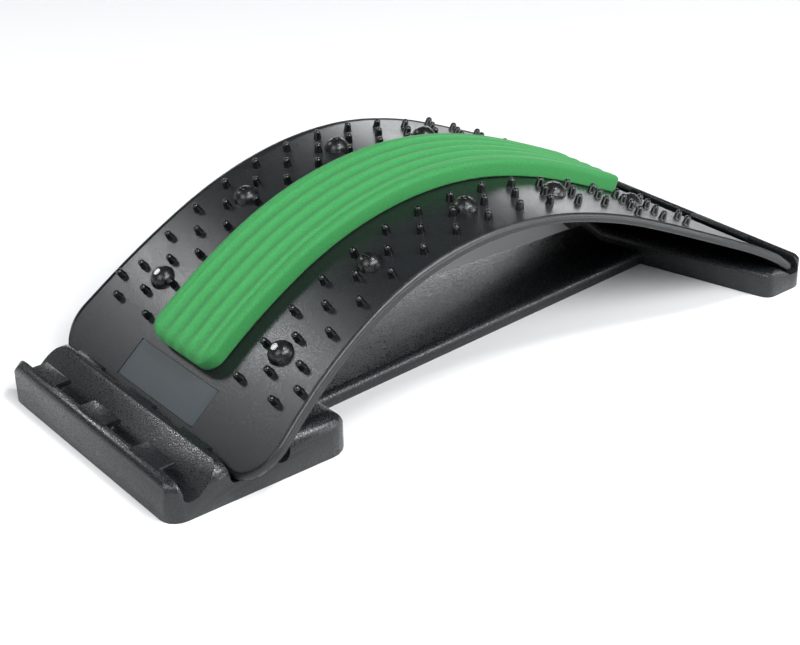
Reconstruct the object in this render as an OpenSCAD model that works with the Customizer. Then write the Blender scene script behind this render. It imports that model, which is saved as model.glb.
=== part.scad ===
// Arched back stretcher: a curved plate of pins and magnet domes with a foam strip along its
// middle, held between a three-slot rack and a rear socket on one flat base.
// X runs along the body from the rack (-X) to the socket (+X), Y across it, Z up.
// The origin is on the ground under the middle of the base.

/* [Arch line] */
// Radius of the nearly straight ramp at the front, on the middle line of the rim
front_ramp_r = 862; // [700:1:1000]
// Angle that the front ramp turns through
front_ramp_turn = 2.4; // [1.8:0.1:3.2]
// Radius of the shoulder between the front ramp and the crown
front_shoulder_r = 308; // [270:1:350]
// Angle that the front shoulder turns through
front_shoulder_turn = 10.1; // [8.5:0.1:11.5]
// Radius of the crown
crown_r = 172; // [160:1:185]
// Angle that the crown turns through
crown_turn = 42.3; // [40:0.1:44]
// Radius of the shoulder behind the crown
rear_shoulder_r = 280; // [240:1:330]
// Angle that the rear shoulder turns through
rear_shoulder_turn = 9.9; // [8.5:0.1:11.5]
// Radius of the nearly straight ramp behind the rear shoulder
rear_ramp_r = 1342; // [1150:1:1500]
// Angle that the rear ramp turns through
rear_ramp_turn = 2.8; // [2.2:0.1:3.4]
// Radius of the tail that turns down into the socket
tail_r = 372; // [330:1:420]
// Angle that the tail turns through
tail_turn = 7.9; // [6.5:0.1:9.5]

/* [Plate] */
// Diameter of the rounded front and rear ends of the plate
end_d = 5.6; // [5:0.1:6]
// Depth of the rim along the sides, under the top face
rim_depth = 4; // [3.4:0.1:4.6]
// Height that the rim stands over the top face
rim_rise = 0.6; // [0.3:0.1:0.8]
// Width of the rim
rim_w = 3; // [2.4:0.1:5]
// Thickness of the plate inside the rim
shell_t = 2.8; // [2.2:0.1:3.4]
// Half width of the plate at its waist
waist_half = 81.3; // [78:0.1:84]
// Distance of the waist behind the front end of the plate
waist_back = 103; // [96:1:110]
// Radius of the side curve in front of the waist
waist_front_r = 420; // [360:1:480]
// Half width of the plate at its rear end
rear_half = 100.9; // [98:0.1:101.2]
// Distance of the place where the sides run straight behind the front end of the plate
flank_back = 301; // [290:1:320]
// Radius that eases the side curve into the straight rear sides
flank_r = 150; // [110:1:190]
// Radius of the front corners of the plate
front_corner_r = 17; // [12:0.5:24]
// Radius of the rear corners of the plate
rear_corner_r = 5; // [3:0.5:8]
// Distance of the trim line from the edge of the plate
trim_inset = 1.5; // [1.2:0.1:1.8]
// Width of the trim line
trim_w = 0.6; // [0.4:0.1:0.8]
// Depth of the trim line
trim_depth = 0.5; // [0.3:0.1:0.8]

/* [Pins] */
// Distance between two rows of pins along the arch
row_pitch = 20; // [19:0.1:20.6]
// Distance of the first row behind the front end of the arch
first_row = 35.5; // [33:0.5:37]
// Distance of the inner line of pins from the middle
inner_line = 40.7; // [38:0.1:42]
// Distance of the middle line of pins from the middle
middle_line = 54.7; // [53:0.1:57]
// Distance of the outer line of pins from the middle
outer_line = 69.2; // [67:0.1:71]
// Distance of the single extra pin at the front from the middle
front_extra_line = 78.3; // [76:0.1:80]
// Distance of the extra pins at the rear from the middle
rear_extra_line = 83.5; // [80:0.1:86]
// Diameter of a pin at its foot
pin_foot_d = 4.6; // [4:0.1:5.2]
// Diameter of a pin at its tip
pin_tip_d = 3.5; // [3:0.1:3.9]
// Height of a pin
pin_h = 5.1; // [4:0.1:6.5]

/* [Magnet domes] */
// Distance of the lines of domes from the middle
dome_line = 51.7; // [50:0.1:54]
// Diameter of a dome at its foot
dome_d = 13.2; // [12.2:0.1:14]
// Diameter of the flat top of a dome
dome_top_d = 4.4; // [3.6:0.1:5.2]
// Height of a dome above its seat
dome_h = 6; // [5.6:0.1:6.8]
// Depth of the flat seat under a dome
dome_seat = 0.4; // [0.3:0.1:0.6]
// Diameter of the stem that goes through the plate
stem_d = 9.6; // [9.4:0.1:10.2]
// Height of the snap bead under the plate
bead_h = 0.8; // [0.6:0.1:1.2]
// How far the bead stands out from the stem
bead_out = 0.5; // [0.3:0.1:0.6]
// Diameter of a magnet
magnet_d = 7.6; // [6.5:0.1:7.8]
// Thickness of a magnet
magnet_t = 3; // [2:0.1:3.6]

/* [Foam strip] */
// Width of the foam strip
foam_w = 50; // [44:0.5:54]
// Height of the foam strip
foam_h = 9.2; // [6:0.1:10]
// Length of the foam strip along the arch
foam_len = 289.5; // [270:0.5:292]
// Distance of the foam strip behind the front end of the arch
foam_start = 29; // [28:0.5:34]
// Radius of the corners of the foam strip
foam_corner = 10; // [7:1:14]
// Ribs that run along the top of the foam strip
foam_ribs = 5; // [3:1:7]
// Depth of the channels between the ribs
foam_channel = 0.8; // [0.3:0.1:1.2]
// Thickness of the adhesive tape under the foam strip
tape_t = 0.3; // [0.2:0.1:0.5]
// Distance of the tape from the edge of the foam strip
tape_inset = 3; // [2:0.5:6]

/* [Blank label] */
// Length of the label along the arch
label_len = 21; // [18:0.5:23]
// Width of the label
label_w = 68; // [60:1:76]
// Thickness of the label
label_t = 0.4; // [0.3:0.1:0.5]
// Distance of the label behind the front end of the arch
label_start = 4; // [3.5:0.5:6]
// Depth of the recess that holds the label
label_recess = 0.5; // [0.4:0.1:0.7]

/* [Rack] */
// Width of the rack
rack_w = 151; // [146:0.5:156]
// Length of the rack
rack_len = 100.5; // [98:0.1:103]
// Height of the rack
rack_h = 21; // [20:0.1:22]
// Distance between two slots
slot_pitch = 24.4; // [24:0.1:25]
// Height of the floor of the slots and of the socket
slot_floor = 9.2; // [8.6:0.1:9.8]
// Distance of the first slot behind the front face
slot_setback = 11.8; // [11.4:0.1:12.6]
// Radius at the front of a slot
slot_front_r = 3.4; // [3.2:0.1:3.5]
// Radius at the rear of a slot
slot_rear_r = 7; // [6.9:0.1:7.4]
// Angle of the steep front wall of a slot
slot_wall = 78; // [76:1:82]
// Angle of the ramp behind a slot
slot_ramp = 42; // [41:0.5:44]
// Width of a hook
hook_w = 23; // [20:0.5:26]
// Distance between two hooks
hook_pitch = 48; // [46:0.5:50]
// Thickness of a hook
hook_t = 2.6; // [2.2:0.1:2.8]
// Overhang of the hooks on the front lip
lip_reach = 8.5; // [7:0.1:9.4]
// Radius of the front corners of the base
base_front_r = 9; // [6:0.5:12]
// Radius of the rear corners of the rack
rack_rear_r = 12; // [9:0.5:14]
// Radius on the outer ends of the ridges
ridge_end_r = 8; // [5:0.5:9]
// Length of the core slots under the hooks
core_len = 5; // [4:0.1:6]
// Radius along the top edges of the rack's rear hump
hump_r = 9; // [6:0.5:10]

/* [Spine] */
// Half width of the spine where it leaves the rack
spine_front_half = 38.6; // [36:0.1:41]
// Half width of the spine where it meets the socket
spine_rear_half = 24.5; // [22:0.1:28]
// Height of the spine
spine_h = 8; // [7.5:0.1:9]
// Radius along the top edges of the spine
spine_r = 4; // [3:0.1:4.4]

/* [Socket] */
// Width of the socket
socket_w = 204; // [203:0.5:210]
// Length of the socket at its outer ends
socket_end_len = 29; // [27:0.5:32]
// Angle by which the front of the socket is swept back
socket_sweep = 15; // [12:0.5:17]
// Height of the socket in front of its groove
socket_h = 15; // [14:0.1:15.4]
// Radius along the front top edge of the socket
socket_r = 5; // [3:0.5:6]
// Radius of the rear corners of the socket
socket_corner_r = 6.4; // [5:0.1:8]
// Height of the rear wall
rear_wall_h = 18.2; // [17.8:0.1:19]
// Thickness of the rear wall at its foot
rear_wall_t = 4.4; // [4:0.1:5]
// Width of a rear hook
rear_hook_w = 42; // [36:1:46]
// Distance between the two rear hooks
rear_hook_gap = 48; // [40:1:54]
// Radius on the top outer corners of the rear wall
rear_wall_r = 8; // [5:0.5:10]
// Thickness of a rear hook
rear_hook_t = 2.2; // [1.9:0.1:2.4]

/* [Base shell] */
// Thickness of the outer walls of the base
wall_t = 3; // [2.5:0.1:3.5]
// Thickness of the ribs under the base
rib_t = 2; // [1.6:0.1:2.6]
// Greatest distance between two ribs
rib_span = 36; // [30:1:38]
// Height of the hollow cells under the base
cell_h = 5; // [3.5:0.1:5.2]

/* [Clearances] */
// Gap between the plate's ends and what carries them
seat_gap = 0.25; // [0.2:0.05:0.3]
// Gap between the plate's front end and the hooks that it swings past
swing_gap = 0.5; // [0.4:0.1:0.8]
// Gap round a stem, a magnet and the label
fit_gap = 0.1; // [0.05:0.05:0.15]
// Gap between the foam strip and its tape
foam_gap = 0.3; // [0.2:0.1:0.4]

/* [Hidden] */
$fn = 64;
eps = 0.05;
over = 5;
dome_rows = [1, 4, 7, 10, 13];
dome_names = [for (side = ["near", "far"], i = [1 : len(dome_rows)]) str(side, "_", i)];

// The arch line is a chain of tangent arcs, turned so that both ends are at one height
arcs = [
    [front_ramp_r, front_ramp_turn], [front_shoulder_r, front_shoulder_turn],
    [crown_r, crown_turn], [rear_shoulder_r, rear_shoulder_turn],
    [rear_ramp_r, rear_ramp_turn], [tail_r, tail_turn]
];
function stride(p, arc) = let (c = 2 * arc[0] * sin(arc[1] / 2), a = p[2] - arc[1] / 2)
    [p[0] + c * cos(a), p[1] + c * sin(a), p[2] - arc[1]];
function walk(p, i, n) = i == n ? p : walk(stride(p, arcs[i]), i + 1, n);
flat_end = walk([0, 0, 0], 0, len(arcs));
start_heading = -atan2(flat_end[1], flat_end[0]);
end_heading = start_heading + flat_end[2];
chord = norm([flat_end[0], flat_end[1]]);

// Places of the two ends of the plate, and of the base round them
nose_r = end_d / 2;
nose_z = slot_floor + seat_gap + nose_r;
nose_in_slot = 1;
rear_nose_gap = 1.2;
nose_to_front = slot_setback + slot_pitch + nose_in_slot;
nose_to_rear = nose_r + rear_nose_gap + rear_wall_t + 0.4;
base_len = nose_to_front + chord + nose_to_rear;
base_front = -base_len / 2;
base_rear = base_len / 2;
nose_front_x = base_front + nose_to_front;
nose_rear_x = base_rear - nose_to_rear;
plate_front = nose_front_x - nose_r;
plate_rear = nose_rear_x + nose_r;

function arc_start(i) = walk([nose_front_x, nose_z, start_heading], 0, i);
function arc_centre(i) = let (p = arc_start(i)) [p[0], p[1]] + arcs[i][0] * [sin(p[2]), -cos(p[2])];
function top_len(i) = (arcs[i][0] + nose_r) * arcs[i][1] * PI / 180;
// Place at a distance s along the top face and a height h over it: [x, z, heading]
function on_top(s, h = 0, i = 0) =
    (i < len(arcs) - 1 && s > top_len(i)) ? on_top(s - top_len(i), h, i + 1) :
    let (
        c = arc_centre(i), r = arcs[i][0] + nose_r,
        a = arc_start(i)[2] - s / r * 180 / PI
    ) [c[0] - (r + h) * sin(a), c[1] + (r + h) * cos(a), a];

function reversed(list) = [for (i = [len(list) - 1 : -1 : 0]) list[i]];
function flipped(list) = [for (p = reversed(list)) [p[0], -p[1]]];
function inner(list) = [for (i = [1 : len(list) - 2]) list[i]];
function turned(r, a) = r * [cos(a), sin(a)];
function arc_points(c, r, from, to, n) = [for (k = [0 : n]) c + turned(r, from + (to - from) * k / n)];
function bearing(a, b) = atan2(b[1] - a[1], b[0] - a[0]);

// Points at a depth under the top face, one for each small turn of the arch
facet_turn = 1.8;
function facets(i) = max(2, ceil(arcs[i][1] / facet_turn));
function depth_line(depth) = [
    for (i = [0 : len(arcs) - 1])
        let (c = arc_centre(i), r = arcs[i][0] + nose_r - depth, a = arc_start(i)[2])
        for (k = [i == 0 ? 0 : 1 : facets(i)])
            c + turned(r, 90 + a - arcs[i][1] * k / facets(i))
];
// Points along a stretch of the top face, at a height over it
function stretch_line(from, to, h, n) =
    [for (k = [0 : n]) let (p = on_top(from + (to - from) * k / n, h)) [p[0], p[1]]];

// Centres of the arcs that bound one side of the plate, seen from above
waist_x = plate_front + waist_back;
front_side_c = [waist_x, waist_half + waist_front_r];
flare = rear_half - waist_half;
waist_rear_r = (pow(flank_back - waist_back, 2) + flare * flare) / (2 * flare) - flank_r;
rear_side_c = [waist_x, waist_half + waist_rear_r];
front_c = let (dx = waist_back - front_corner_r)
    [plate_front + front_corner_r, front_side_c[1] - sqrt(pow(waist_front_r + front_corner_r, 2) - dx * dx)];
flank_c = [plate_front + flank_back, rear_half - flank_r];
rear_c = [plate_rear - rear_corner_r, rear_half - rear_corner_r];
// One side of the plate from the front edge round to the rear edge, drawn in by g
function side_points(g) = let (a = bearing(front_c, front_side_c), b = bearing(flank_c, rear_side_c)) concat(
    arc_points(front_c, front_corner_r - g, 180, a, 10),
    inner(arc_points(front_side_c, waist_front_r + g, a + 180, 270, 6)),
    arc_points(rear_side_c, waist_rear_r + g, 270, b + 180, 10),
    inner(arc_points(flank_c, flank_r - g, b, 90, 4)),
    arc_points(rear_c, rear_corner_r - g, 90, 0, 6)
);

module along_y(w) {
    rotate([90, 0, 0]) linear_extrude(w, center = true) children();
}

module on_arch(s, y) {
    p = on_top(s);
    translate([p[0], y, p[1]]) rotate([0, -p[2], 0]) children();
}

module on_row(row, y) {
    on_arch(first_row + row * row_pitch, y) children();
}

plate_w = 2 * rear_half + 4 * over;
sky = on_top(first_row + 7 * row_pitch)[1] + 4 * over;

module plate_prism(g) {
    linear_extrude(sky) polygon(concat(side_points(g), flipped(side_points(g))));
}

module layer(from, to) {
    along_y(plate_w) polygon(concat(depth_line(from), reversed(depth_line(to))));
}

// The rim stands over the face and hangs under it, and runs out into the rounded ends
module rim_layer() {
    along_y(plate_w) polygon(concat(
        inner(depth_line(-rim_rise)),
        arc_points([nose_rear_x, nose_z], nose_r, 90 + end_heading, end_heading - 90, 10),
        reversed(inner(depth_line(rim_depth))),
        arc_points([nose_front_x, nose_z], nose_r, 270 + start_heading, 90 + start_heading, 10)
    ));
}

module patch(from, to, w, low, high, n) {
    along_y(w) polygon(concat(stretch_line(from, to, high, n), reversed(stretch_line(from, to, low, n))));
}

// Rows and lines of the pins on one side: fifteen pins on the outer lines, and the middle line between
last_row = 14;
extra_rows = [11.5, 12.5, 13.5];
pin_places = concat(
    [for (row = [0 : last_row], y = [inner_line, outer_line]) [row, y]],
    [for (row = [0 : last_row - 1]) [row + 0.5, middle_line]],
    [[0.5, front_extra_line]],
    [for (row = extra_rows) [row, rear_extra_line]]
);

module pin() {
    root = shell_t / 2;
    straight = pin_h - pin_tip_d / 2;
    translate([0, 0, -root]) cylinder(d = pin_foot_d, h = root, $fn = 24);
    cylinder(d1 = pin_foot_d, d2 = pin_tip_d, h = straight, $fn = 24);
    translate([0, 0, straight]) sphere(d = pin_tip_d, $fn = 24);
}

module dome_hole() {
    translate([0, 0, -end_d]) cylinder(d = stem_d + 2 * fit_gap, h = 2 * end_d);
    translate([0, 0, -dome_seat]) cylinder(d = dome_d + 2 * fit_gap, h = dome_seat + 1);
}

module arch_plate() {
    color("#34373a")
    difference() {
        union() {
            difference() {
                intersection() {
                    rim_layer();
                    plate_prism(0);
                }
                intersection() {
                    layer(shell_t, end_d + 2);
                    plate_prism(rim_w);
                }
                intersection() {
                    layer(-2 * rim_rise, 0);
                    plate_prism(trim_inset);
                }
                intersection() {
                    layer(-2 * rim_rise, trim_depth);
                    difference() {
                        plate_prism(trim_inset);
                        plate_prism(trim_inset + trim_w);
                    }
                }
                patch(label_start, label_start + label_len, label_w, -label_recess, 1, 4);
            }
            for (p = pin_places, side = [-1, 1]) on_row(p[0], side * p[1]) pin();
        }
        for (row = dome_rows, side = [-1, 1]) on_row(row, side * dome_line) dome_hole();
    }
}

module blank_label() {
    lip = 2 * fit_gap;
    end = label_start + label_len - lip;
    color("#4a5357")
    patch(label_start + lip, end, label_w - 2 * lip, -label_recess, label_t - label_recess, 4);
}

module pad_tape() {
    end = foam_start + foam_len - tape_inset;
    color("#e8e4d8")
    patch(foam_start + tape_inset, end, foam_w - 2 * tape_inset, eps, eps + tape_t, 60);
}

// The foam strip is one closed skin of rings across the strip
foam_rings = 36;
foam_across = 24;
foam_lift = eps + tape_t + foam_gap;
function foam_s(i) = foam_len * (1 - cos(180 * i / foam_rings)) / 2;
function foam_end(s) = min(s, foam_len - s);
function foam_half(s) = let (t = max(0, foam_corner - foam_end(s)))
    foam_w / 2 - foam_corner + sqrt(foam_corner * foam_corner - t * t);
function foam_rise(s) = let (k = min(1, (foam_end(s) + 1.2) / foam_corner)) pow(1 - pow(1 - k, 3), 0.5);
function foam_top(s, u) = let (
        crown = pow(1 - pow(abs(u), 14), 1 / 3),
        fade = min(1, foam_end(s) / (2 * foam_corner)) * (1 - pow(abs(u), 4)),
        channel = foam_channel * fade * (1 + cos(360 * foam_ribs * (u + 1) / 2 )) / 2
    ) max(1, (foam_h * crown - channel) * foam_rise(s));
function foam_point(s, y, h) = let (p = on_top(foam_start + s, foam_lift + h)) [p[0], y, p[1]];
function foam_ring(s) = let (w = foam_half(s)) concat(
    [for (k = [0 : foam_across]) let (v = 2 * k / foam_across - 1, u = 0.35 * sin(90 * v) + 0.65 * v)
        foam_point(s, u * w, foam_top(s, u))],
    [foam_point(s, w * 0.985, 0), foam_point(s, -w * 0.985, 0)]
);

module foam_pad() {
    n = foam_across + 3;
    points = [for (i = [0 : foam_rings]) each foam_ring(foam_s(i))];
    sides = [
        for (i = [0 : foam_rings - 1], k = [0 : n - 1])
            let (a = i * n + k, b = i * n + (k + 1) % n)
            each [[a, b, b + n], [a, b + n, a + n]]
    ];
    first = [for (k = [n - 1 : -1 : 0]) k];
    last = [for (k = [0 : n - 1]) foam_rings * n + k];
    color("#5bb36c") polyhedron(points, concat(sides, [first, last]));
}

// A magnet dome: a cone with bulging sides and a flat top, on a stem that snaps through the
// plate, hollow for its magnet
stem_len = shell_t - dome_seat + fit_gap + bead_h;
magnet_top = dome_h - 3.8;
dome_skirt = 0.6;
dome_edge = 0.3;
dome_bulge_r = 14;
module dome() {
    foot = [dome_d / 2, dome_skirt];
    brow = [dome_top_d / 2, dome_h - dome_edge];
    side = brow - foot;
    middle = (foot + brow) / 2;
    inward = [-side[1], side[0]] / norm(side);
    c = middle + sqrt(pow(dome_bulge_r, 2) - pow(norm(side) / 2, 2)) * inward;
    color("#1b1c1e")
    translate([0, 0, -dome_seat]) rotate_extrude() difference() {
        union() {
            polygon(concat(
                [[0, 0], [dome_d / 2, 0]],
                arc_points(c, dome_bulge_r, bearing(c, foot), bearing(c, brow), 5),
                [[dome_top_d / 2 - dome_edge, dome_h], [0, dome_h]]
            ));
            translate([0, -stem_len]) square([stem_d / 2, stem_len + eps]);
            translate([0, -stem_len]) square([stem_d / 2 + bead_out, bead_h]);
        }
        translate([-1, -stem_len - 1]) square([1 + magnet_d / 2 + fit_gap, stem_len + 1 + magnet_top]);
    }
}

module magnet() {
    color("#b8bcc0")
    translate([0, 0, magnet_top - dome_seat - fit_gap - magnet_t]) cylinder(d = magnet_d, h = magnet_t);
}

// One slot of the rack, from its steep front wall to what rises behind it
first_slot = base_front + slot_setback;
function slot_x(i) = first_slot + i * slot_pitch;
slot_half_floor = 0.6;
function slot_points(x, rear_angle, rear_r) = let (
        front = [x - slot_half_floor, slot_floor + slot_front_r],
        back = [x + slot_half_floor, slot_floor + rear_r],
        low = front + turned(slot_front_r, 90 + slot_wall),
        high = back + turned(rear_r, rear_angle - 90),
        above = rack_h + 1
    ) concat(
        [[low[0] - (above - low[1]) / tan(slot_wall), above]],
        arc_points(front, slot_front_r, 90 + slot_wall, 270, 6),
        arc_points(back, rear_r, 270, 270 + rear_angle, 6),
        [[high[0] + (above - high[1]) / tan(rear_angle), above]]
    );
crest_in = slot_half_floor + slot_front_r * cos(90 - slot_wall)
    + (rack_h - slot_floor - slot_front_r - slot_front_r * cos(slot_wall)) / tan(slot_wall);

// A hook leans from the crest of a ridge over the slot behind it
function hook_points(crest, tip) = concat(
    [[crest - 2, rack_h - 4], [crest - 2, rack_h]],
    arc_points([tip - hook_t / 2, rack_h - hook_t / 2], hook_t / 2, 90, -70, 6),
    [[crest + (tip - crest) * 0.4, rack_h - hook_t], [crest + 0.9, rack_h - 6]]
);
swing_reach = crest_in + nose_in_slot - nose_r - swing_gap;
hook_reaches = [lip_reach, swing_reach, swing_reach];

rack_rear = base_front + rack_len;
rack_half = rack_w / 2;
hump_front = slot_x(2) + slot_half_floor + slot_front_r;
module rack_side() {
    lean = 1.2;
    lip = slot_setback - crest_in - lean;
    rear_lean = 2;
    polygon(concat(
        [[base_front, 0]],
        arc_points([base_front + lean + lip, rack_h - lip], lip, 180, 90, 6),
        arc_points([rack_rear - rear_lean - hump_r, rack_h - hump_r], hump_r, 90, 10, 6),
        [[rack_rear, 0]]
    ));
}

// Plan of the rack, drawn in by g
function corner(x, y, r, from) = arc_points([x, y], r, from, from - 90, 5);
module rack_plan(g) {
    half = concat(
        corner(base_front + base_front_r, rack_half - base_front_r, base_front_r - g, 180),
        corner(rack_rear - rack_rear_r, rack_half - rack_rear_r, rack_rear_r - g, 90)
    );
    polygon(concat(half, flipped(half)));
}

// Plan of the spine: it narrows from the rack to the socket
socket_front = base_rear - socket_end_len;
spine_end = socket_front + over;
spine_taper = (spine_front_half - spine_rear_half) / (socket_front - rack_rear);
function spine_half(x) = spine_front_half - (x - rack_rear) * spine_taper;
module spine_plan(g) {
    ends = [rack_rear - rack_rear_r, spine_end];
    polygon(concat(
        [for (x = ends) [x, spine_half(x) - g]],
        [for (x = reversed(ends)) [x, g - spine_half(x)]]
    ));
}

// Plan of the socket: its front is swept back from the spine to the ends
socket_half = socket_w / 2;
socket_root = socket_front - (socket_half - spine_rear_half) * tan(socket_sweep);
// Place of the swept front edge on the middle line, drawn in by g
function socket_edge(g) = socket_front + socket_corner_r - (socket_corner_r - g) / cos(socket_sweep)
    - (socket_half - socket_corner_r) * tan(socket_sweep);
module socket_plan(g) {
    r = socket_corner_r;
    end_c = [socket_front + r, socket_half - r];
    half = concat(
        [[socket_edge(g), 0]],
        arc_points(end_c, r - g, 180 - socket_sweep, 90, 5),
        corner(base_rear - r, socket_half - r, r - g, 90)
    );
    polygon(concat(half, flipped(half)));
}

// Section of the socket: a low front, a groove for the end of the plate, and the rear wall
groove_floor_end = base_rear - rear_wall_t;
groove_slope = -end_heading - 1;
groove_foot = nose_rear_x - nose_r * sin(-end_heading) - 0.3;
module socket_side() {
    lean = 1.6;
    top_r = 1.5;
    polygon(concat(
        [[socket_root - 40, 0], [socket_root - 40, socket_h]],
        [[groove_foot - (socket_h - slot_floor) / tan(groove_slope), socket_h]],
        [[groove_foot, slot_floor], [groove_floor_end - 1, slot_floor], [groove_floor_end, slot_floor + 1]],
        arc_points([groove_floor_end + top_r - 0.2, rear_wall_h - top_r], top_r, 180, 90, 4),
        arc_points([base_rear - lean - top_r, rear_wall_h - top_r], top_r, 90, 0, 4),
        [[base_rear, 0]]
    ));
}

rear_hook_tip = nose_rear_x + 2;
function rear_hook_points() = let (r = rear_hook_t / 2) concat(
    [[base_rear - 3, rear_wall_h - rear_hook_t], [base_rear - 3, rear_wall_h]],
    reversed(arc_points([rear_hook_tip + r, rear_wall_h - r], r, 250, 90, 5))
);

// A strip that rounds a top edge along X, with the corner of the edge at the origin
module edge_round(l, r) {
    rotate([90, 0, 90]) linear_extrude(l) difference() {
        translate([-r, -r]) square(r + 1);
        translate([-r, -r]) circle(r);
    }
}

// A strip that rounds a top edge across a corner of the plan: c is the corner's centre, r its radius
module corner_round(c, r, turn, edge_r) {
    span = 3 * r;
    translate([c[0], c[1], rack_h]) rotate([0, 0, turn])
        translate([-span / 2, r, 0]) edge_round(span, edge_r);
}

module both_sides() {
    children();
    mirror([0, 1, 0]) children();
}

core_w = hook_w - 3;
front_corner_c = [base_front + base_front_r, rack_half - base_front_r];
rear_corner_c = [rack_rear - rack_rear_r, rack_half - rack_rear_r];
module rack_body() {
    difference() {
        intersection() {
            along_y(rack_w + 2) rack_side();
            linear_extrude(rack_h + 1) rack_plan(0);
        }
        for (i = [0, 1]) along_y(rack_w + 2) polygon(slot_points(slot_x(i), slot_ramp, slot_rear_r));
        along_y(rack_w + 2) polygon(slot_points(slot_x(2), 80, slot_front_r));
        both_sides() translate([hump_front, rack_half, rack_h]) edge_round(rack_len, hump_r);
        both_sides() translate([base_front - 1, rack_half, rack_h])
            edge_round(hump_front + 1 - base_front, ridge_end_r);
        both_sides() {
            corner_round(front_corner_c, base_front_r, 45, ridge_end_r);
            corner_round(rear_corner_c, rack_rear_r, -45, hump_r);
        }
        for (i = [0 : 2], k = [-1 : 1])
            translate([slot_x(i) - core_len / 2, k * hook_pitch - core_w / 2, cell_h - 1])
                cube([core_len, core_w, slot_floor]);
    }
    for (i = [0 : 2], k = [-1 : 1])
        translate([0, k * hook_pitch, 0]) along_y(hook_w)
            polygon(hook_points(slot_x(i) - crest_in, slot_x(i) - crest_in + hook_reaches[i]));
}

module spine_body() {
    angle = atan(spine_taper);
    start = rack_rear - over;
    len = spine_end - start;
    difference() {
        linear_extrude(spine_h) spine_plan(0);
        both_sides() translate([start, spine_half(start), spine_h]) rotate([0, 0, -angle])
            edge_round(2 * len, spine_r);
    }
}

module socket_body() {
    difference() {
        intersection() {
            along_y(socket_w + 2) socket_side();
            linear_extrude(rear_wall_h + 1) socket_plan(0);
        }
        both_sides() translate([socket_edge(0), 0, socket_h]) rotate([0, 0, 90 - socket_sweep])
            edge_round(socket_w, socket_r);
        both_sides() translate([socket_front - 1, socket_half, rear_wall_h])
            edge_round(socket_end_len + 2, rear_wall_r);
    }
    both_sides() translate([0, (rear_hook_gap + rear_hook_w) / 2, 0])
        along_y(rear_hook_w) polygon(rear_hook_points());
}

// Hollow cells under the base, between the outer walls and the ribs
module cells() {
    columns = ceil(base_len / rib_span);
    rows = ceil(socket_w / rib_span);
    column = base_len / columns;
    row = socket_w / rows;
    translate([0, 0, -1]) linear_extrude(cell_h + 1) difference() {
        union() {
            rack_plan(wall_t);
            spine_plan(wall_t);
            socket_plan(wall_t);
        }
        for (i = [1 : columns - 1])
            translate([base_front + i * column - rib_t / 2, -socket_w]) square([rib_t, 2 * socket_w]);
        for (k = [1 : rows - 1])
            translate([-base_len, (k - rows / 2) * row - rib_t / 2]) square([2 * base_len, rib_t]);
    }
}

module base_frame() {
    color("#2a2c2e")
    difference() {
        union() {
            rack_body();
            spine_body();
            socket_body();
        }
        cells();
    }
}

function dome_row(i) = dome_rows[i % len(dome_rows)];
function dome_y(i) = (i < len(dome_rows) ? -1 : 1) * dome_line;

base_frame();
arch_plate();
blank_label();
pad_tape();
foam_pad();
for (i = [0 : len(dome_names) - 1]) {
    on_row(dome_row(i), dome_y(i)) dome();
    on_row(dome_row(i), dome_y(i)) magnet();
}
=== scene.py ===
"""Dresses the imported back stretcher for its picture.

The arched plate, its pins, the domes, the foam strip and the blank label are built here on the
same arch line as the solids. The base is a copy of its solid, shaded by a bevel's hardened
normals. The magnets and the tape keep their solids and get finishes.
"""

import logging
import math
from dataclasses import dataclass, field
from enum import Enum
from typing import Any, Callable, Sequence

import bmesh
import bpy
from bpy.types import Material, Mesh, Node, NodeSocket, NodeTree, Object
from mathutils import Matrix, Vector


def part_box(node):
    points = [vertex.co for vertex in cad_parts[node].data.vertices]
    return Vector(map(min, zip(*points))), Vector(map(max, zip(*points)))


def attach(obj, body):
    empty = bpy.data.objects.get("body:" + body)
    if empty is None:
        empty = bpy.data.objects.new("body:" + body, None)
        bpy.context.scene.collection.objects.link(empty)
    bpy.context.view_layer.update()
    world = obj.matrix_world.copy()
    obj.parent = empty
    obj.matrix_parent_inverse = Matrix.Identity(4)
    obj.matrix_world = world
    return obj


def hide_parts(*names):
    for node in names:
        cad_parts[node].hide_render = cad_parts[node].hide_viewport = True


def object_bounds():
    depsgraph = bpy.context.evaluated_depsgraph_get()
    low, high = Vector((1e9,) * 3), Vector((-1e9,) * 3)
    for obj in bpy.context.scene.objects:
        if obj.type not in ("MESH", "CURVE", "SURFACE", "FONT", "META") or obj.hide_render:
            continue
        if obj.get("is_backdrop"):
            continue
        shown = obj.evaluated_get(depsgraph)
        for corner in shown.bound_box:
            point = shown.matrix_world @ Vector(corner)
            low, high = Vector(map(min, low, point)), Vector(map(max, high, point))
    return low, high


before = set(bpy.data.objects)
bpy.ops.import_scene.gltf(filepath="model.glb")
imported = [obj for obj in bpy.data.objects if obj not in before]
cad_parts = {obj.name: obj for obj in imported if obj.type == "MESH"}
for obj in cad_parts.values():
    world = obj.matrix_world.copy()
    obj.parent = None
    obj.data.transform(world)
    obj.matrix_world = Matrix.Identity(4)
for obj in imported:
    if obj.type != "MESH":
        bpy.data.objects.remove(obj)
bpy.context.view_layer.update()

MM = 0.001
ABS_IOR = 1.5
# A noise texture spends most of its area between these two values
NOISE_LOW, NOISE_HIGH = 0.3, 0.7
LOG = logging.getLogger("back_stretcher")
Point2 = tuple[float, float]
Point3 = tuple[float, float, float]
Colour = tuple[float, float, float, float]


class Body(Enum):
    """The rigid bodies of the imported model."""

    BASE = "base"
    ARCH = "arch"


# Small shared helpers


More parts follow.
